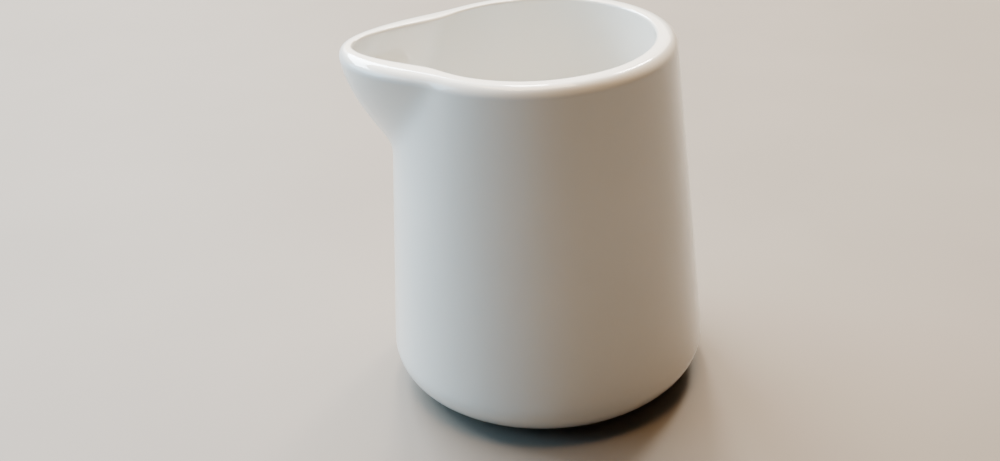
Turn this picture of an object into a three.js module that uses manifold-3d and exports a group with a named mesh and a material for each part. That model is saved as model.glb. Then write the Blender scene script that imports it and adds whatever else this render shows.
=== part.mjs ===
// Conical porcelain cream jug without a handle: a cast body with a pulled lip, a beak spout luted into a
// notch in its wall, a bare foot ring that it stands on, and the clear glaze that coats the rest.
// Millimetres, +Z up. The jug stands on z = 0 and pours along -X. The origin is the middle of the
// object's bounding box, at the bottom, so the jug's own axis stands a little to the +X side of it.

import * as THREE from "three";
import { mergeVertices } from "three/addons/utils/BufferGeometryUtils.js";
import Module from "manifold-3d";

const wasm = await Module();
wasm.setup();

// ---- Driving dimensions of the finished, glazed jug ----

const jugHeight = 80;
const baseRadius = 36.8; // where the outer cone, carried on down, meets the table
const topRadius = 29.9; // where the outer cone, carried on up, meets the rim plane
const mouthRadius = 25.5; // crisp inner edge of the rim
const wallThickness = 3.9; // low on the wall; the rim is thicker
const floorThickness = 4.2;

const heelRadius = 8.2; // rounding between the wall and the underside
const rimRounding = 2.7; // outer rounding of the rim
const rimInnerRounding = 0.6;
const innerHeelRadius = 8; // rounding between the inner wall and the floor

const footHeight = 0.8; // gap between the table and the glazed underside
const bareMargin = 0.3; // from the edge of the glaze in to the bare ring
const footWidth = 3.2;
const footChamfer = 0.4;
const recessHeight = 1.9; // hollow of the underside, inside the ring
const recessDoming = 0.4; // how much higher the middle of the underside is

const glazeThickness = 0.3;

// Beak spout: how far it stands out of the wall at the rim, half the angle it spreads over, the
// angle its tip is rounded over, how softly its flanks meet the wall, and its root's depth below the rim.
const outerBeak = { reach: 11.6, halfAngle: 51, tipAngle: 19, blend: 1.53, depth: 22.4 };
const innerBeak = { reach: 13.2, halfAngle: 41, tipAngle: 9.5, blend: 1.72, depth: 21.5 };
const keelPower = 1.7; // above 1 bows the keel outwards
const spreadPower = 0.52; // below 1 opens the flanks sooner above the root
const notchTopHalfWidth = 20.5; // half the width of the notch in the wall at the rim
const notchBelowBeak = 3.6; // from the beak's root down to the point of the notch
const slipJoint = 0.3; // the joint of slip between spout and body

// ---- Fineness of the facets ----

const columns = 60;
const columnCrowding = 0.5; // share by which columns are closer at the spout than evenly spaced ones
const arcSteps = 5;
const beakSteps = 6;
const stationCrowding = 1.4; // above 1 puts a beak's stations closer together near its root

const radians = THREE.MathUtils.degToRad;

// ---- Outlines: lists of stations { r, z, beak }, in order up the outside and down the inside ----

const coneLean = Math.atan((baseRadius - topRadius) / jugHeight);
const outerWallRadius = (z) => baseRadius + (topRadius - baseRadius) * (z / jugHeight);
const floorTop = recessHeight + recessDoming + floorThickness;
const mouthTop = jugHeight - rimInnerRounding;
const innerWallLow = outerWallRadius(floorTop) - wallThickness;
const innerLean = Math.atan((innerWallLow - mouthRadius) / (mouthTop - floorTop));
const innerWallRadius = (z) => mouthRadius + (mouthTop - z) * Math.tan(innerLean);
const heelCentreZ = footHeight + heelRadius;
const heelCentreR = outerWallRadius(heelCentreZ) - heelRadius / Math.cos(coneLean);
const footRadius = heelCentreR - bareMargin;
const footInnerRadius = footRadius - footWidth;
const beakRoot = (beak) => jugHeight - beak.depth;
const notchDepth = outerBeak.depth + notchBelowBeak;

// How far a beak bulges out of the round wall, at an angle from the spout's middle and a height.
function bulge(beak, angle, z) {
  const rise = THREE.MathUtils.clamp((z - beakRoot(beak)) / beak.depth, 0, 1);
  if (rise === 0) return 0;
  const spread = rise ** spreadPower;
  const half = radians(beak.halfAngle) * spread;
  const tip = radians(beak.tipAngle) * spread;
  const fromTip = (Math.hypot(angle, tip) - tip) / (Math.hypot(half, tip) - tip);
  const keel = 1 - (1 - rise) ** keelPower;
  return beak.reach * keel * Math.max(0, 1 - fromTip) ** beak.blend;
}

const outerBulge = (z) => (angle) => bulge(outerBeak, angle, z);
const innerBulge = (z) => (angle) => bulge(innerBeak, angle, z);
const noBulge = () => 0;

// Points on an arc of a profile, from one angle to another, in degrees from +r towards +z.
function arc(centreR, centreZ, radius, fromDegrees, toDegrees, steps) {
  return Array.from({ length: steps + 1 }, (_, i) => {
    const angle = radians(THREE.MathUtils.lerp(fromDegrees, toDegrees, i / steps));
    return { r: centreR + radius * Math.cos(angle), z: centreZ + radius * Math.sin(angle) };
  });
}

// Heights at which the wall needs a station, from a beak's root up to a height, closer near the root.
function beakHeights(beak, top) {
  return Array.from({ length: beakSteps }, (_, i) =>
    THREE.MathUtils.lerp(beakRoot(beak), top, (i / beakSteps) ** stationCrowding));
}

function heel() {
  const lean = THREE.MathUtils.radToDeg(coneLean);
  return arc(heelCentreR, heelCentreZ, heelRadius, -90, lean, arcSteps);
}

function outerWall() {
  return beakHeights(outerBeak, jugHeight - rimRounding).map((z) => ({
    r: outerWallRadius(z),
    z,
    beak: outerBulge(z),
  }));
}

// The rim's bulge passes evenly from that of the outer wall to that of the inner wall.
function rim() {
  const outerStart = outerWallRadius(jugHeight - rimRounding);
  const outside = arc(outerStart - rimRounding, jugHeight - rimRounding, rimRounding, 0, 90, arcSteps);
  const inside = arc(
    mouthRadius + rimInnerRounding, mouthTop, rimInnerRounding, 90, 180, 3,
  );
  return [...outside, ...inside].map(({ r, z }) => {
    const share = THREE.MathUtils.clamp((outerStart - r) / (outerStart - mouthRadius), 0, 1);
    const beak = (angle) => THREE.MathUtils.lerp(
      bulge(outerBeak, angle, z), bulge(innerBeak, angle, z), share,
    );
    return { r, z, beak };
  });
}

function innerWall() {
  return beakHeights(innerBeak, mouthTop).reverse().map((z) => ({
    r: innerWallRadius(z),
    z,
    beak: innerBulge(z),
  }));
}

function innerFloor() {
  const centreZ = floorTop + innerHeelRadius;
  const centreR = innerWallRadius(centreZ) - innerHeelRadius / Math.cos(innerLean);
  const lean = THREE.MathUtils.radToDeg(innerLean);
  const corner = arc(centreR, centreZ, innerHeelRadius, lean, -90, arcSteps);
  return [...corner, { r: 0, z: floorTop }];
}

// Everything that is glazed, from the edge of the glaze under the heel, over the rim, to the floor.
const glazedOutline = [...heel(), ...outerWall(), ...rim(), ...innerWall(), ...innerFloor()];

// The same outline moved into the clay by the glaze's thickness, square to the profile.
function sunkOutline(outline, depth) {
  return outline.map((station, i) => {
    const before = outline[Math.max(0, i - 1)];
    const after = outline[Math.min(outline.length - 1, i + 1)];
    const out = new THREE.Vector2(after.z - before.z, before.r - after.r).normalize();
    if (station.r === 0) out.set(0, 1);
    return { ...station, r: station.r - depth * out.x, z: station.z - depth * out.y };
  });
}

const clayOutline = sunkOutline(glazedOutline, glazeThickness);

// ---- Solids ----

// A closed geometry with shared vertices and no collapsed triangles.
function weld(geometry) {
  geometry.deleteAttribute("normal");
  geometry.deleteAttribute("uv");
  const merged = mergeVertices(geometry, 1e-5);
  const index = Array.from(merged.index.array);
  const kept = [];
  for (let i = 0; i < index.length; i += 3) {
    const [a, b, c] = index.slice(i, i + 3);
    if (a !== b && b !== c && c !== a) kept.push(a, b, c);
  }
  merged.setIndex(kept);
  return merged;
}

// Turns an outline round the jug's axis, then pushes each vertex out by its station's beak.
function turned(outline) {
  const points = outline.map(({ r, z }) => new THREE.Vector2(r, z));
  const geometry = new THREE.LatheGeometry(points, columns);
  const position = geometry.attributes.position;
  for (let i = 0; i < position.count; i += 1) {
    const station = outline[i % outline.length];
    const even = (2 * Math.PI * Math.floor(i / outline.length)) / columns - Math.PI;
    const angle = even - columnCrowding * Math.sin(even);
    const beak = station.beak ?? noBulge;
    const radius = station.r + beak(Math.abs(angle));
    position.setXYZ(i, -radius * Math.cos(angle), -radius * Math.sin(angle), station.z);
  }
  return weld(geometry);
}

function solidOf(geometry) {
  const vertProperties = new Float32Array(geometry.attributes.position.array);
  const triVerts = new Uint32Array(geometry.index.array);
  return new wasm.Manifold(new wasm.Mesh({ numProp: 3, vertProperties, triVerts }));
}

function geometryOf(solid) {
  const mesh = solid.getMesh();
  const geometry = new THREE.BufferGeometry();
  geometry.setAttribute("position", new THREE.BufferAttribute(mesh.vertProperties, 3));
  geometry.setIndex(new THREE.BufferAttribute(mesh.triVerts, 1));
  return geometry;
}

// The clay's underside, hollowed for the foot ring and for the glaze inside the ring.
const underside = [
  { r: 0, z: recessHeight + recessDoming + glazeThickness },
  { r: footInnerRadius, z: recessHeight + glazeThickness },
  { r: footRadius, z: recessHeight + glazeThickness },
  { r: footRadius, z: clayOutline[0].z },
  clayOutline[0],
];

// A V-shaped wedge through the wall on the spout's side, drawn in by a margin on both faces.
function wedge(margin) {
  const above = 10;
  const halfAngle = Math.atan(notchTopHalfWidth / notchDepth);
  const point = jugHeight - notchDepth + margin / Math.sin(halfAngle);
  const top = jugHeight + above;
  const halfWidth = (top - point) * Math.tan(halfAngle);
  const outline = new THREE.Shape([
    new THREE.Vector2(0, point),
    new THREE.Vector2(halfWidth, top),
    new THREE.Vector2(-halfWidth, top),
  ]);
  const reach = baseRadius + outerBeak.reach;
  const geometry = new THREE.ExtrudeGeometry(outline, { depth: reach, bevelEnabled: false });
  geometry.rotateX(Math.PI / 2);
  geometry.rotateZ(-Math.PI / 2);
  return solidOf(weld(geometry));
}

// The clay of wall, floor, rim and spout as one shape, before the spout is parted from the body.
const clayShape = solidOf(turned([...underside, ...clayOutline.slice(1)]));

function jugBody() {
  return geometryOf(clayShape.subtract(wedge(0)));
}

function pouringSpout() {
  return geometryOf(clayShape.intersect(wedge(slipJoint)));
}

// The ring's profile closes on itself, anticlockwise seen with r to the right and z up.
function footRing() {
  const top = recessHeight + glazeThickness;
  return turned([
    { r: footInnerRadius + footChamfer, z: 0 },
    { r: footRadius - footChamfer, z: 0 },
    { r: footRadius, z: footChamfer },
    { r: footRadius, z: top },
    { r: footInnerRadius, z: top },
    { r: footInnerRadius, z: footChamfer },
    { r: footInnerRadius + footChamfer, z: 0 },
  ]);
}

// One skin over the heel, wall, rim, spout, inner wall and floor.
function glazeCoat() {
  const glazedShape = solidOf(turned([...underside, ...glazedOutline]));
  return geometryOf(glazedShape.subtract(clayShape));
}

function baseGlaze() {
  return turned([
    { r: 0, z: recessHeight + recessDoming },
    { r: footInnerRadius, z: recessHeight },
    { r: footInnerRadius, z: recessHeight + glazeThickness },
    { r: 0, z: recessHeight + recessDoming + glazeThickness },
  ]);
}

// ---- Materials and assembly ----

const porcelain = { color: 0xece8de, roughness: 0.7, metalness: 0 };
const biscuit = { color: 0xe2dacb, roughness: 0.9, metalness: 0 };
const glaze = { color: 0xf1f1ee, roughness: 0.08, metalness: 0 };

function part(name, geometry, finish) {
  const mesh = new THREE.Mesh(geometry, new THREE.MeshStandardMaterial(finish));
  mesh.name = name;
  return mesh;
}

// The jug's axis is moved off the origin so that the box from beak tip to wall is centred on it.
const jug = new THREE.Group();
const widest = Math.max(...glazedOutline.map(({ r }) => r));
const farthest = Math.max(...glazedOutline.map(({ r, beak = noBulge }) => r + beak(0)));
jug.position.x = (farthest - widest) / 2;

jug.add(part("jug_body", jugBody(), porcelain));
jug.add(part("pouring_spout", pouringSpout(), porcelain));
jug.add(part("foot_ring", footRing(), biscuit));
jug.add(part("glaze_coat", glazeCoat(), glaze));
jug.add(part("base_glaze", baseGlaze(), glaze));

export default jug;
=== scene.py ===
"""Looks of the porcelain cream jug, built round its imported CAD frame.

The jug's sizes are in millimetres until mesh_object() turns them into metres. The frame's boxes, the
floor's reach and the lights are in metres, and angles are in degrees. The jug's own axis is upright and
stands a little to the +X side of the frame's origin. The spout points along -X.
"""

import math

import bpy
import numpy as np
from mathutils import Matrix, Vector


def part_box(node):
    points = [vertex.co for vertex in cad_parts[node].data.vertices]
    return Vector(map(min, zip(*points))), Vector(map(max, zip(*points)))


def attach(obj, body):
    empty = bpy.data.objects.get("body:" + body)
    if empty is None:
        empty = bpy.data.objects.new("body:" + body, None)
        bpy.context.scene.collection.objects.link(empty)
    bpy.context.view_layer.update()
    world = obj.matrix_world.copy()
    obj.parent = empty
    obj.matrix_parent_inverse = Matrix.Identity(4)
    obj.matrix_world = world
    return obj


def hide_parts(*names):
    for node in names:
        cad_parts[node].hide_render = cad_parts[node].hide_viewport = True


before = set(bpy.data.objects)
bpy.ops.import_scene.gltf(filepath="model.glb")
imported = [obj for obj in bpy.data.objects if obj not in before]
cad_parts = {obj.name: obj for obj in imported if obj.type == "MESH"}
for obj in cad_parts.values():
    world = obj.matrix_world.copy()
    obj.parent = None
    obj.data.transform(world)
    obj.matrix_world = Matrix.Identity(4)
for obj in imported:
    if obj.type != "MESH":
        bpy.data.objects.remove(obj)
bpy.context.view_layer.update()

MM = 0.001

# ---- Sizes of the finished jug, the same as in its CAD source ----

JUG_HEIGHT = 80.0
BASE_RADIUS = 36.8
TOP_RADIUS = 29.9
MOUTH_RADIUS = 25.5
WALL_THICKNESS = 3.9
FLOOR_THICKNESS = 4.2
HEEL_RADIUS = 8.2
RIM_ROUNDING = 2.7
RIM_INNER_ROUNDING = 0.6
INNER_HEEL_RADIUS = 8.0
FOOT_HEIGHT = 0.8
BARE_MARGIN = 0.3
FOOT_WIDTH = 3.2
FOOT_CHAMFER = 0.4
RECESS_HEIGHT = 1.9
RECESS_DOMING = 0.4
GLAZE_THICKNESS = 0.3
OUTER_BEAK = dict(reach=11.6, half_angle=51.0, tip_angle=19.0, blend=1.53, depth=22.4)
INNER_BEAK = dict(reach=13.2, half_angle=41.0, tip_angle=9.5, blend=1.72, depth=21.5)
KEEL_POWER = 1.7
SPREAD_POWER = 0.52
NOTCH_TOP_HALF_WIDTH = 20.5
NOTCH_BELOW_BEAK = 3.6
SLIP_JOINT = 0.3

# ---- What the kiln and the glaze add ----

CREASE_SOFTENING = 1.3  # every crease of the clay is eased over about this distance
WARP = 0.07  # how far the wall has moved out of round in the firing
EDGE_WANDER = 0.16  # how far the lower edge of the glaze strays from a circle
EDGE_WANDER_OUTWARD = 1.2  # on the whole it strays outwards, by this many times EDGE_WANDER
EDGE_WANDER_FADE = 1.2  # the distance from the heel's centre over which the straying dies away
MENISCUS_DROP = 0.45  # the base glaze runs down the foot ring by this much
MENISCUS_WIDTH = 1.1

# ---- Fineness ----

COLUMNS = 256  # points round the jug
COLUMN_CROWDING = 0.5  # how much closer than evenly they stand at the spout, and further at the back
PLAIN_STEP = 1.8  # between rows on the plain wall
SPOUT_STEP = 0.55  # between rows on the spout's part of the wall
HEEL_STEPS = 18
RIM_STEPS = 14
RIM_INNER_STEPS = 8
RIM_LAND_STATIONS = 4
INNER_HEEL_STEPS = 16
INNER_FLOOR_STATIONS = 12
SMALL_EDGE_STEPS = 6  # round the edges of the foot ring and the bead of the glaze
TREAD_STATIONS = 6
UNDERSIDE_STATIONS = 10
BASE_GLAZE_STATIONS = 12
MENISCUS_STATIONS = 8
FIELD_STEP = 0.5  # between the heights in a table of a beak's bulge
FIELD_COLUMNS = 720
FIELD_HEADROOM = 6.0  # how far above the rim the table goes, so that softening has room
LEAST_SPACING = 0.02  # mm2, so that a curvature between crowded points isn't divided by nothing
RING_SHARP_ANGLE = 50
CUT_SHARP_ANGLE = 40
WEDGE_ABOVE_RIM = 10.0  # how far the wedge that parts the spout stands above the rim

cone_lean = math.atan((BASE_RADIUS - TOP_RADIUS) / JUG_HEIGHT)
floor_top = RECESS_HEIGHT + RECESS_DOMING + FLOOR_THICKNESS
mouth_top = JUG_HEIGHT - RIM_INNER_ROUNDING
notch_depth = OUTER_BEAK["depth"] + NOTCH_BELOW_BEAK
unwarped_radius = MOUTH_RADIUS / 2  # inside this the floor is left flat and round
jug_axis_x = (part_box("foot_ring")[0][0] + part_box("foot_ring")[1][0]) / 2  # in metres


def outer_wall_radius(z):
    return BASE_RADIUS + (TOP_RADIUS - BASE_RADIUS) * z / JUG_HEIGHT


inner_lean = math.atan(
    (outer_wall_radius(floor_top) - WALL_THICKNESS - MOUTH_RADIUS) / (mouth_top - floor_top)
)


def inner_wall_radius(z):
    return MOUTH_RADIUS + (mouth_top - z) * math.tan(inner_lean)


heel_centre_z = FOOT_HEIGHT + HEEL_RADIUS
heel_centre_r = outer_wall_radius(heel_centre_z) - HEEL_RADIUS / math.cos(cone_lean)
foot_radius = heel_centre_r - BARE_MARGIN
foot_inner_radius = foot_radius - FOOT_WIDTH


# ---- The spout's bulge out of the round wall ----

def sharp_bulge(beak, angle, z):
    """How far a beak stands out of the wall before its creases are softened."""
    rise = np.clip((z - JUG_HEIGHT + beak["depth"]) / beak["depth"], 1e-6, None)
    spread = rise ** SPREAD_POWER
    half = math.radians(beak["half_angle"]) * spread
    tip = math.radians(beak["tip_angle"]) * spread
    from_tip = (np.hypot(angle, tip) - tip) / (np.hypot(half, tip) - tip)
    keel = 1 - np.sign(1 - rise) * np.abs(1 - rise) ** KEEL_POWER
    return beak["reach"] * keel * np.clip(1 - from_tip, 0, None) ** beak["blend"]


def softened(field, distance, spacing, axis):
    """Averages a field with its neighbours until it has spread over a distance."""
    passes = round(2 * (distance / spacing) ** 2)  # the square of the spread grows by a half a pass
    for _ in range(passes):
        if axis == 1:
            before, after = np.roll(field, 1, 1), np.roll(field, -1, 1)
        else:
            before = np.vstack([field[:1], field[:-1]])
            after = np.vstack([field[1:], 2 * field[-1:] - field[-2:-1]])
        field = (before + 2 * field + after) / 4
    return field


field_heights = np.arange(JUG_HEIGHT / 2, JUG_HEIGHT + FIELD_HEADROOM, FIELD_STEP)
field_angles = np.linspace(-math.pi, math.pi, FIELD_COLUMNS, endpoint=False)


def beak_field(beak):
    """A table of a beak's softened bulge over height and angle."""
    field = sharp_bulge(beak, np.abs(field_angles)[None, :], field_heights[:, None])
    arc_step = TOP_RADIUS * 2 * math.pi / FIELD_COLUMNS
    field = softened(field, CREASE_SOFTENING, arc_step, 1)
    return softened(field, CREASE_SOFTENING, FIELD_STEP, 0)


outer_field = beak_field(OUTER_BEAK)
inner_field = beak_field(INNER_BEAK)


def bulge(field, angles, z):
    """The bulge at each angle, at one height."""
    last_row = len(field_heights) - 1.001  # just short of the last, so that there is one above
    row = np.clip((z - field_heights[0]) / FIELD_STEP, 0, last_row)
    low = int(row)
    share = row - low
    at_height = field[low] * (1 - share) + field[low + 1] * share
    return np.interp(angles, field_angles, at_height, period=2 * math.pi)


def kiln_warp(angles, z):
    """How far the wall stands out of round at each angle. It fades to nothing at the foot.

    Two and three lobes make the oval and seven and eleven the ripple. All but the two lobes drift
    round with height.
    """
    oval = np.cos(2 * angles + 0.7) + 0.5 * np.cos(3 * angles - 1.1 + z / 40)
    ripple = 0.3 * np.cos(7 * angles + z / 9) + 0.2 * np.cos(11 * angles - z / 14)
    return WARP * (oval + ripple) * min(1, z / JUG_HEIGHT * 1.5)


# ---- Outlines: lists of stations (r, z, share), in order up the outside and down the inside ----
# A station's share says whose bulge it has: 0 the outer beak's, 1 the inner beak's, None neither's.

def arc(centre_r, centre_z, radius, start, end, steps):
    """Points (r, z) along an arc. Its ends are in degrees, anticlockwise from straight outwards."""
    turn = np.radians(np.linspace(start, end, steps + 1))
    return list(zip(centre_r + radius * np.cos(turn), centre_z + radius * np.sin(turn)))


def wall_heights(start, root, end):
    """Heights between the two ends of a wall, close together above the root of the spout."""
    below = np.linspace(start, root, round(abs(root - start) / PLAIN_STEP) + 1)
    above = np.linspace(root, end, round(abs(end - root) / SPOUT_STEP) + 1)
    return [*below[1:], *above[1:-1]]


def heel_and_wall():
    lean = math.degrees(cone_lean)
    heel = arc(heel_centre_r, heel_centre_z, HEEL_RADIUS, -90, lean, HEEL_STEPS)
    root = JUG_HEIGHT - OUTER_BEAK["depth"] - CREASE_SOFTENING
    heights = wall_heights(heel[-1][1], root, JUG_HEIGHT - RIM_ROUNDING)
    wall = [(outer_wall_radius(z), z) for z in heights]
    return [(r, z, 0.0) for r, z in heel + wall]


def rim():
    start_z = JUG_HEIGHT - RIM_ROUNDING
    start_r = outer_wall_radius(start_z)
    inside_r = MOUTH_RADIUS + RIM_INNER_ROUNDING
    outside = arc(start_r - RIM_ROUNDING, start_z, RIM_ROUNDING, 0, 90, RIM_STEPS)
    inside = arc(inside_r, mouth_top, RIM_INNER_ROUNDING, 90, 180, RIM_INNER_STEPS)
    land_radii = np.linspace(outside[-1][0], inside[0][0], RIM_LAND_STATIONS)
    land = [(r, JUG_HEIGHT) for r in land_radii[1:-1]]
    stations = outside + land + inside
    return [(r, z, np.clip((start_r - r) / (start_r - MOUTH_RADIUS), 0, 1)) for r, z in stations]


def inner_wall_and_floor():
    corner_z = floor_top + INNER_HEEL_RADIUS
    corner_r = inner_wall_radius(corner_z) - INNER_HEEL_RADIUS / math.cos(inner_lean)
    lean = math.degrees(inner_lean)
    corner = arc(corner_r, corner_z, INNER_HEEL_RADIUS, lean, -90, INNER_HEEL_STEPS)
    root = JUG_HEIGHT - INNER_BEAK["depth"] - CREASE_SOFTENING
    heights = wall_heights(corner[0][1], root, mouth_top)[::-1]
    wall = [(inner_wall_radius(z), z) for z in heights]
    floor = [(r, floor_top) for r in np.linspace(corner[-1][0], 0, INNER_FLOOR_STATIONS)[1:]]
    return [(r, z, 1.0) for r, z in wall + corner + floor]


def foot_ring_outline():
    """The ring's profile, closed on itself, with its two lower edges rounded."""
    top = RECESS_HEIGHT + GLAZE_THICKNESS
    inner_r, outer_r = foot_inner_radius + FOOT_CHAMFER, foot_radius - FOOT_CHAMFER
    inner = arc(inner_r, FOOT_CHAMFER, FOOT_CHAMFER, 180, 270, SMALL_EDGE_STEPS)
    outer = arc(outer_r, FOOT_CHAMFER, FOOT_CHAMFER, 270, 360, SMALL_EDGE_STEPS)
    tread = [(r, 0.0) for r in np.linspace(inner[-1][0], outer[0][0], TREAD_STATIONS)[1:-1]]
    walls = [(foot_radius, top), (foot_inner_radius, top)]
    return [(r, z, None) for r, z in inner + tread + outer + walls]


def doming(r):
    """How far the underside rises above the recess's edge, at a radius."""
    return RECESS_DOMING * (1 - r / foot_inner_radius)


def underside_outline():
    """The clay's underside, from the middle out to the edge of the glaze."""
    top = RECESS_HEIGHT + GLAZE_THICKNESS
    dome = [(r, top + doming(r)) for r in np.linspace(0, foot_inner_radius, UNDERSIDE_STATIONS)]
    ring = [(foot_radius, top), (foot_radius, FOOT_HEIGHT + GLAZE_THICKNESS)]
    return [(r, z, None) for r, z in dome + ring]


def base_glaze_outline():
    """Both faces of the glaze inside the ring. Its lower face turns down where it meets the ring."""
    bend = foot_inner_radius - MENISCUS_WIDTH
    radii = [*np.linspace(0, bend, BASE_GLAZE_STATIONS)]
    radii += [*np.linspace(bend, foot_inner_radius, MENISCUS_STATIONS)[1:]]
    climb = [max(0, 1 - (foot_inner_radius - r) / MENISCUS_WIDTH) ** 2 for r in radii]
    lower = [(r, RECESS_HEIGHT + doming(r) - MENISCUS_DROP * c) for r, c in zip(radii, climb)]
    upper = [(r, RECESS_HEIGHT + doming(r) + GLAZE_THICKNESS) for r in radii[::-2]]
    return [(r, z, None) for r, z in lower + upper]


# ---- Rows of points, turned round the jug's axis ----

even = np.linspace(-math.pi, math.pi, COLUMNS, endpoint=False)
column_angles = even - COLUMN_CROWDING * np.sin(even)
cosines, sines = np.cos(column_angles), np.sin(column_angles)


def turned(outline):
    """One row of points for each station of an outline, with the spout's bulge and the kiln's warp."""
    rows = []
    for r, z, share in outline:
        radius = np.full(COLUMNS, float(r))
        if share is not None and r > unwarped_radius:
            bulges = bulge(outer_field, column_angles, z), bulge(inner_field, column_angles, z)
            radius += bulges[0] * (1 - share) + bulges[1] * share + kiln_warp(column_angles, z)
        rows.append(np.stack([-radius * cosines, -radius * sines, np.full(COLUMNS, float(z))], 1))
    return np.array(rows)


def normals_of(rows):
    """Unit normals of a turned surface, pointing away from the clay."""
    along = np.gradient(rows, axis=0)
    around = np.roll(rows, -1, 1) - np.roll(rows, 1, 1)
    across = np.cross(around, along)
    length = np.linalg.norm(across, axis=2, keepdims=True)
    on_axis = length[..., 0] < 1e-9
    across[on_axis] = (0, 0, 1)  # a row on the axis has no width, so it faces straight up
    length[on_axis] = 1
    return across / length


def hollowness(rows, normals):
    """Curvature in 1/mm. It is above zero in a hollow, where glaze pools, and below on an edge."""
    total = np.zeros(rows.shape[:2])
    padded = np.concatenate([rows[:1], rows, rows[-1:]])
    pairs = (padded[:-2], padded[2:]), (np.roll(rows, 1, 1), np.roll(rows, -1, 1))
    for before, after in pairs:
        towards = (before + after) / 2 - rows
        spacing = np.linalg.norm(before - rows, axis=2) * np.linalg.norm(after - rows, axis=2)
        total += 2 * (towards * normals).sum(axis=2) / np.maximum(spacing, LEAST_SPACING)
    total[[0, 1, -2, -1]] = 0  # the rows at a skin's ends, where neighbours are missing
    return total


def numbered(rows):
    """The vertices of rows of points, and each point's vertex number. A row on the axis is one vertex."""
    vertices, numbers = [], []
    for row in rows:
        on_axis = np.ptp(row[:, :2]) < 1e-6
        numbers.append(len(vertices) + (np.zeros(COLUMNS, int) if on_axis else np.arange(COLUMNS)))
        vertices.extend(row[:1] if on_axis else row)
    return np.array(vertices), np.array(numbers)


def lofted(rows, closed=False):
    """Vertices and faces of a skin over rows of points."""
    vertices, numbers = numbered(rows)
    if closed:
        numbers = np.concatenate([numbers, numbers[:1]])
    faces = []
    for low, high in zip(numbers[:-1], numbers[1:]):
        for corners in zip(low, np.roll(low, -1), np.roll(high, -1), high):
            faces.append([*dict.fromkeys(int(corner) for corner in corners)])
    return vertices, faces


def mesh_object(name, vertices, faces, material):
    mesh = bpy.data.meshes.new(name)
    placed = np.array(vertices) * MM + (jug_axis_x, 0, 0)
    mesh.from_pydata(placed.tolist(), [], faces)
    mesh.validate()
    mesh.shade_smooth()
    mesh.materials.append(material)
    made = bpy.data.objects.new(name, mesh)
    bpy.context.scene.collection.objects.link(made)
    return made


# ---- Materials ----

# The sockets of a Mix node that mixes colours. They go by number, because several share a name.
MIX_SHARE, MIX_FIRST, MIX_SECOND, MIX_RESULT = 0, 6, 7, 2

DOT_CORE = 0.4  # the share of a dot's radius that is solid, before it fades out
DOT_CUTOFF = 0.9  # the dots of the last tenth of the chosen cells are faint


class Finish:
    """A Principled material with procedural detail. Pattern sizes are in millimetres."""

    def __init__(self, name, **sockets):
        self.material = bpy.data.materials.new(name)
        self.material.use_nodes = True
        self.tree = self.material.node_tree
        self.shader = self.tree.nodes["Principled BSDF"]
        for socket, value in sockets.items():
            self.shader.inputs[socket.replace("_", " ")].default_value = value
        self.place = self.node("ShaderNodeTexCoord").outputs["Object"]

    def node(self, kind, links=(), **inputs):
        made = self.tree.nodes.new(kind)
        for socket, value in inputs.items():
            made.inputs[socket.replace("_", " ")].default_value = value
        for socket, source in dict(links).items():
            self.tree.links.new(source, made.inputs[socket])
        return made

    def feed(self, socket, value):
        """Sets a socket to a colour or a number, or links it to another node's output."""
        if isinstance(value, tuple):
            socket.default_value = (*value, 1)
        elif isinstance(value, (int, float)):
            socket.default_value = value
        else:
            self.tree.links.new(value, socket)

    def noise(self, size, detail=2.0, roughness=0.5):
        made = self.node("ShaderNodeTexNoise", {"Vector": self.place},
                         Scale=1 / (size * MM), Detail=detail, Roughness=roughness)
        return made.outputs["Fac"]

    def dots(self, cell, size, share):
        """1 in small round dots and 0 between them.

        The size is a dot's radius, and the share is how many of a grid's cells have a dot.
        """
        scale = 1 / (cell * MM)
        points = self.node("ShaderNodeTexVoronoi", {"Vector": self.place}, Scale=scale)
        inside = self.remap(points.outputs["Distance"], size / cell, DOT_CORE * size / cell, 0, 1)
        red = self.node("ShaderNodeSeparateColor", {"Color": points.outputs["Color"]}).outputs[0]
        chosen = self.remap(red, share, DOT_CUTOFF * share, 0, 1)
        return self.maths("MULTIPLY", inside, chosen)

    def remap(self, value, low, high, to_low, to_high):
        made = self.node("ShaderNodeMapRange", {"Value": value},
                         From_Min=low, From_Max=high, To_Min=to_low, To_Max=to_high)
        return made.outputs["Result"]

    def maths(self, operation, first, second):
        made = self.tree.nodes.new("ShaderNodeMath")
        made.operation = operation
        self.feed(made.inputs[0], first)
        self.feed(made.inputs[1], second)
        return made.outputs[0]

    def attribute(self, name):
        made = self.node("ShaderNodeAttribute")
        made.attribute_name = name
        return made.outputs["Fac"]

    def ramp(self, value, *stops):
        """A colour that follows a value through stops of (position, colour)."""
        made = self.node("ShaderNodeValToRGB", {"Fac": value})
        elements = made.color_ramp.elements
        while len(elements) < len(stops):
            elements.new(0.5)
        for element, (position, colour) in zip(elements, stops):
            element.position = position
            element.color = (*colour, 1)
        return made.outputs["Color"]

    def mixed(self, share, first, second, blend="MIX"):
        made = self.tree.nodes.new("ShaderNodeMix")
        made.data_type = "RGBA"
        made.blend_type = blend
        self.feed(made.inputs[MIX_SHARE], share)
        self.feed(made.inputs[MIX_FIRST], first)
        self.feed(made.inputs[MIX_SECOND], second)
        return made.outputs[MIX_RESULT]

    def colour(self, source):
        self.tree.links.new(source, self.shader.inputs["Base Color"])

    def roughness(self, source):
        self.tree.links.new(source, self.shader.inputs["Roughness"])

    def bumps(self, *layers):
        """Bump layers of (height source, height in millimetres), one on top of the other."""
        normal = None
        for source, height in layers:
            links = {"Height": source}
            if normal:
                links["Normal"] = normal
            bump = self.node("ShaderNodeBump", links, Strength=1.0, Distance=height * MM)
            normal = bump.outputs["Normal"]
        for socket in ("Normal", "Coat Normal"):
            self.tree.links.new(normal, self.shader.inputs[socket])


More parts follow.
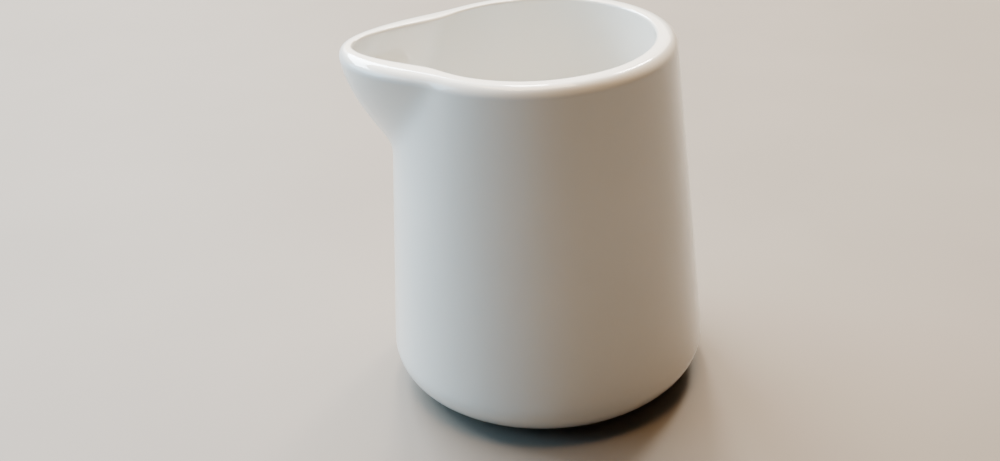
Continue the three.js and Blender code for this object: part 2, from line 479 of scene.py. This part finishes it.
def glaze_finish():
    """Clear glaze over white porcelain. It pools bluish in hollows and thins to cream on sharp edges."""
    made = Finish("white_glaze", Roughness=0.3, Specular_IOR_Level=0.3,
                  Coat_Weight=1.0, Coat_Roughness=0.02, Coat_IOR=1.52)
    depth = made.ramp(
        made.attribute("glaze_depth"),
        (0.04, (0.88, 0.84, 0.76)),
        (0.22, (0.88, 0.865, 0.83)),
        (0.42, (0.885, 0.86, 0.80)),
        (0.55, (0.885, 0.863, 0.81)),
        (0.75, (0.80, 0.825, 0.83)),
    )
    clouds = made.ramp(made.noise(26, 3), (0.3, (0.98, 0.985, 0.99)), (0.7, (1.0, 0.995, 0.99)))
    cloudy = made.mixed(1.0, depth, clouds, "MULTIPLY")
    iron_specks = made.dots(cell=9, size=0.42, share=0.07)
    speckled = made.mixed(made.maths("MULTIPLY", iron_specks, 0.75), cloudy, (0.24, 0.19, 0.15))
    made.colour(speckled)
    # The least roughness is 0.29, because smoother patches were seen to render with hard edges.
    made.roughness(made.remap(made.noise(14, 4), 0.3, 0.7, 0.29, 0.37))
    pinholes = made.maths("MULTIPLY", made.dots(cell=6.5, size=0.3, share=0.1), -1)
    made.bumps((made.noise(9, 1), 0.02), (made.noise(1.8, 1), 0.002), (pinholes, 0.02))
    return made.material


def clay_finish():
    """Fired porcelain under the glaze: chalky, with a fine grain and a few darker grains."""
    made = Finish("porcelain_clay", Roughness=0.75)
    tone = made.ramp(made.noise(11, 4), (0.3, (0.80, 0.775, 0.73)), (0.7, (0.85, 0.83, 0.79)))
    grains = made.mixed(made.dots(cell=1.3, size=0.14, share=0.12), tone, (0.62, 0.56, 0.48))
    made.colour(grains)
    made.roughness(made.remap(made.noise(0.8, 2), 0.3, 0.7, 0.68, 0.86))
    made.bumps((made.noise(0.35, 2), 0.012), (made.noise(4, 2), 0.02))
    return made.material


def biscuit_finish():
    """Bare, ground porcelain: sandy grain, with grey marks where it has rubbed on tables."""
    made = Finish("bare_biscuit", Roughness=0.85)
    tone = made.ramp(made.noise(6, 4), (0.3, (0.70, 0.655, 0.58)), (0.7, (0.79, 0.755, 0.69)))
    height = made.node("ShaderNodeSeparateXYZ", {"Vector": made.place}).outputs["Z"]
    on_tread = made.remap(height, 0.25 * MM, 0.02 * MM, 0, 1)
    patches = made.remap(made.noise(3, 5, 0.65), 0.45, 0.7, 0, 0.6)
    worn = made.mixed(made.maths("MULTIPLY", on_tread, patches), tone, (0.40, 0.385, 0.36))
    sand = made.dots(cell=0.9, size=0.16, share=0.2)
    made.colour(made.mixed(sand, worn, (0.47, 0.40, 0.32)))
    made.roughness(made.remap(made.noise(0.6, 2), 0.3, 0.7, 0.72, 0.95))
    made.bumps((made.noise(0.22, 3), 0.03), (sand, 0.02))
    return made.material


def floor_finish():
    made = Finish("pale_floor", Roughness=0.55, Specular_IOR_Level=0.3)
    made.colour(made.ramp(made.noise(60, 3), (0.3, (0.20, 0.171, 0.143)), (0.7, (0.215, 0.184, 0.154))))
    return made.material


glaze = glaze_finish()
clay = clay_finish()
biscuit = biscuit_finish()


# ---- Pieces ----

def piece(name, vertices, faces, material, slot, node):
    """A piece that is seen in place of one CAD node."""
    made = mesh_object(name, vertices, faces, material)
    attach(made, "root")
    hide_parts(node)
    return made


def glaze_edge():
    """The bead that the glaze ends in, from the clay round to the glazed underside of the heel."""
    centre_r, centre_z = heel_centre_r + GLAZE_THICKNESS, FOOT_HEIGHT + GLAZE_THICKNESS
    bead = arc(centre_r, centre_z, GLAZE_THICKNESS, 180, 270, SMALL_EDGE_STEPS)
    return [(r, z, 0.0) for r, z in bead[:-1]]


def wandered(rows, outline):
    """Moves the rows near the edge of the glaze in and out, as a wiped edge strays.

    The straying is a sum of waves of 5, 13 and 29 lobes round the jug, each weaker than the last.
    The inside floor's rounded corner lies at the same radius, so the glaze there is moved too.
    """
    stray = np.cos(5 * column_angles + 1) + 0.7 * np.cos(13 * column_angles + 2)
    stray = stray + 0.4 * np.cos(29 * column_angles)
    for row, (r, z, _) in zip(rows, outline):
        fade = math.exp(-((r - heel_centre_r) / EDGE_WANDER_FADE) ** 2) if z < heel_centre_z else 0
        scale = 1 + EDGE_WANDER * fade * (stray + EDGE_WANDER_OUTWARD) / max(r, 1)
        row[:, :2] *= scale[:, None]
    return rows


def make_clay(clay_rows):
    """The clay of body and spout as one closed mesh, before the spout is parted from the body."""
    return lofted(np.concatenate([turned(underside_outline()), clay_rows]))


def wedge(margin):
    """A V-shaped wedge through the wall on the spout's side, drawn in by a margin on both faces."""
    top = JUG_HEIGHT + WEDGE_ABOVE_RIM
    far = BASE_RADIUS + OUTER_BEAK["reach"]
    half_angle = math.atan(NOTCH_TOP_HALF_WIDTH / notch_depth)
    point = JUG_HEIGHT - notch_depth + margin / math.sin(half_angle)
    half_width = (top - point) * math.tan(half_angle)
    corners = (0, point), (half_width, top), (-half_width, top)
    vertices = [(-x, y, z) for x in (0.0, far) for y, z in corners]
    faces = [(0, 1, 2), (5, 4, 3), (0, 3, 4, 1), (1, 4, 5, 2), (2, 5, 3, 0)]
    return mesh_object("wedge", vertices, faces, clay)


def cut(target, tool, operation):
    """Cuts a piece with a tool and removes the tool."""
    modifier = target.modifiers.new("cut", "BOOLEAN")
    modifier.object = tool
    modifier.operation = operation
    modifier.solver = "EXACT"
    evaluated = target.evaluated_get(bpy.context.evaluated_depsgraph_get())
    result = bpy.data.meshes.new_from_object(evaluated)
    target.modifiers.clear()
    target.data = result
    result.shade_smooth()
    result.set_sharp_from_angle(angle=math.radians(CUT_SHARP_ANGLE))
    bpy.data.objects.remove(tool)


def add_glaze_depth(target, rows):
    """Stores how thick the glaze lies: 0.5 on a plain wall, towards 1 in a hollow and 0 on an edge."""
    values = np.zeros(len(target.data.vertices), np.float32)
    values[numbered(rows)[1]] = 0.5 + 0.5 * np.tanh(hollowness(rows, normals_of(rows)))
    stored = target.data.attributes.new("glaze_depth", "FLOAT", "POINT")
    stored.data.foreach_set("value", values)


def make_pieces():
    outline = heel_and_wall() + rim() + inner_wall_and_floor()
    glazed_rows = turned(outline)
    normals = normals_of(glazed_rows)
    clay_rows = glazed_rows - GLAZE_THICKNESS * normals
    clay_rows[-1] = clay_rows[-1].mean(axis=0)  # the middle of the floor is one point
    clay_rows = np.concatenate([clay_rows[:-1:2], clay_rows[-1:]])  # half the rows are enough under glaze

    body = piece("porcelain_body", *make_clay(clay_rows), clay, "porcelain_body", "jug_body")
    cut(body, wedge(0), "DIFFERENCE")
    spout = piece("luted_spout", *make_clay(clay_rows), clay, "porcelain_body", "pouring_spout")
    cut(spout, wedge(SLIP_JOINT), "INTERSECT")

    edge = glaze_edge()
    outer_rows = wandered(np.concatenate([turned(edge), glazed_rows]), edge + outline)
    skin = np.concatenate([clay_rows[:0:-1], outer_rows])
    coat = piece("glaze_skin", *lofted(skin), glaze, "clear_glaze", "glaze_coat")
    add_glaze_depth(coat, skin)

    ring_mesh = lofted(turned(foot_ring_outline()), closed=True)
    ring = piece("bare_foot_ring", *ring_mesh, biscuit, "bare_biscuit", "foot_ring")
    ring.data.set_sharp_from_angle(angle=math.radians(RING_SHARP_ANGLE))
    base_rows = turned(base_glaze_outline())
    base = piece("base_glaze_pool", *lofted(base_rows), glaze, "clear_glaze", "base_glaze")
    add_glaze_depth(base, base_rows)


# ---- Stage, light and camera ----

FLOOR_GAP = 0.05  # millimetres between the tread and the floor, so that the two don't share a plane
FLOOR_REACH = 3.0  # metres from the middle to each side

CAMERA_DISTANCE = 244.9  # millimetres along the floor from the jug's axis
CAMERA_HEIGHT = 165.1
CAMERA_SIDE = 1.33  # how far round the jug the camera stands from its square front
CAMERA_YAW = -2.29
CAMERA_PITCH = 28.12
CAMERA_ROLL = -3.79
FOCAL_LENGTH = 43.9
SENSOR_WIDTH = 36
CLIP_START = 0.01  # metres

LIGHTS = (
    # name, place and size in metres, power in watts, colour
    ("window", (-0.95, 0.05, 0.45), (0.7, 0.7), 13, (0.36, 0.70, 1.0)),
    ("back_panel", (-0.05, 0.9, 0.85), (1.3, 1.0), 22, (1.0, 0.83, 0.62)),
    ("high_lamp", (-0.05, 0.15, 1.1), (0.6, 0.6), 16, (1.0, 0.68, 0.38)),
    # Bright panes that glint in the glaze of the rim.
    ("left_pane", (-0.52, 0.52, 0.60), (0.8, 0.22), 32, (0.76, 0.89, 1.0)),
    ("middle_pane", (-0.03, 0.5, 0.68), (0.10, 0.20), 5, (1.0, 0.95, 0.86)),
    ("right_pane", (0.27, 0.5, 0.60), (0.10, 0.20), 5, (1.0, 0.95, 0.86)),
)
LIGHT_TARGET = (0, 0, 0.04)  # metres: every light faces the middle of the jug
WORLD_COLOUR = (1.0, 0.86, 0.74)
WORLD_STRENGTH = 0.02


def add_floor():
    mesh = bpy.data.meshes.new("floor")
    signs = (-1, -1), (1, -1), (1, 1), (-1, 1)
    corners = [(x * FLOOR_REACH, y * FLOOR_REACH, -FLOOR_GAP * MM) for x, y in signs]
    mesh.from_pydata(corners, [], [(0, 1, 2, 3)])
    mesh.materials.append(floor_finish())
    floor = bpy.data.objects.new("floor", mesh)
    bpy.context.scene.collection.objects.link(floor)


def add_camera():
    """Stands the camera off to one side of the jug and turns it by yaw, then pitch, then roll."""
    side, yaw = math.radians(CAMERA_SIDE), math.radians(CAMERA_YAW - CAMERA_SIDE)
    pitch, roll = math.radians(CAMERA_PITCH), math.radians(CAMERA_ROLL)
    across, back = CAMERA_DISTANCE * math.sin(side), CAMERA_DISTANCE * math.cos(side)
    place = Vector((across, -back, CAMERA_HEIGHT)) * MM
    place.x += jug_axis_x
    level_part = math.cos(pitch)
    ahead = Vector((math.sin(yaw) * level_part, math.cos(yaw) * level_part, -math.sin(pitch)))
    level = Vector((math.cos(yaw), -math.sin(yaw), 0))
    upright = level.cross(ahead)
    right = level * math.cos(roll) + upright * math.sin(roll)
    up = upright * math.cos(roll) - level * math.sin(roll)
    data = bpy.data.cameras.new("camera")
    data.lens = FOCAL_LENGTH
    data.sensor_width = SENSOR_WIDTH
    data.clip_start = CLIP_START
    camera = bpy.data.objects.new("camera", data)
    rotation = Matrix((right, up, -ahead)).transposed()
    camera.matrix_world = Matrix.Translation(place) @ rotation.to_4x4()
    bpy.context.scene.collection.objects.link(camera)
    bpy.context.scene.camera = camera


def add_area(name, place, size, power, colour):
    data = bpy.data.lights.new(name, "AREA")
    data.shape = "RECTANGLE"
    data.size, data.size_y = size
    data.energy = power
    data.color = colour
    light = bpy.data.objects.new(name, data)
    light.location = place
    towards = Vector(LIGHT_TARGET) - light.location
    light.rotation_euler = towards.to_track_quat("-Z", "Y").to_euler()
    bpy.context.scene.collection.objects.link(light)


def add_world():
    world = bpy.data.worlds.new("studio")
    world.use_nodes = True
    background = world.node_tree.nodes["Background"]
    background.inputs["Color"].default_value = (*WORLD_COLOUR, 1)
    background.inputs["Strength"].default_value = WORLD_STRENGTH
    bpy.context.scene.world = world


make_pieces()
add_floor()
add_camera()
for light in LIGHTS:
    add_area(*light)
add_world()
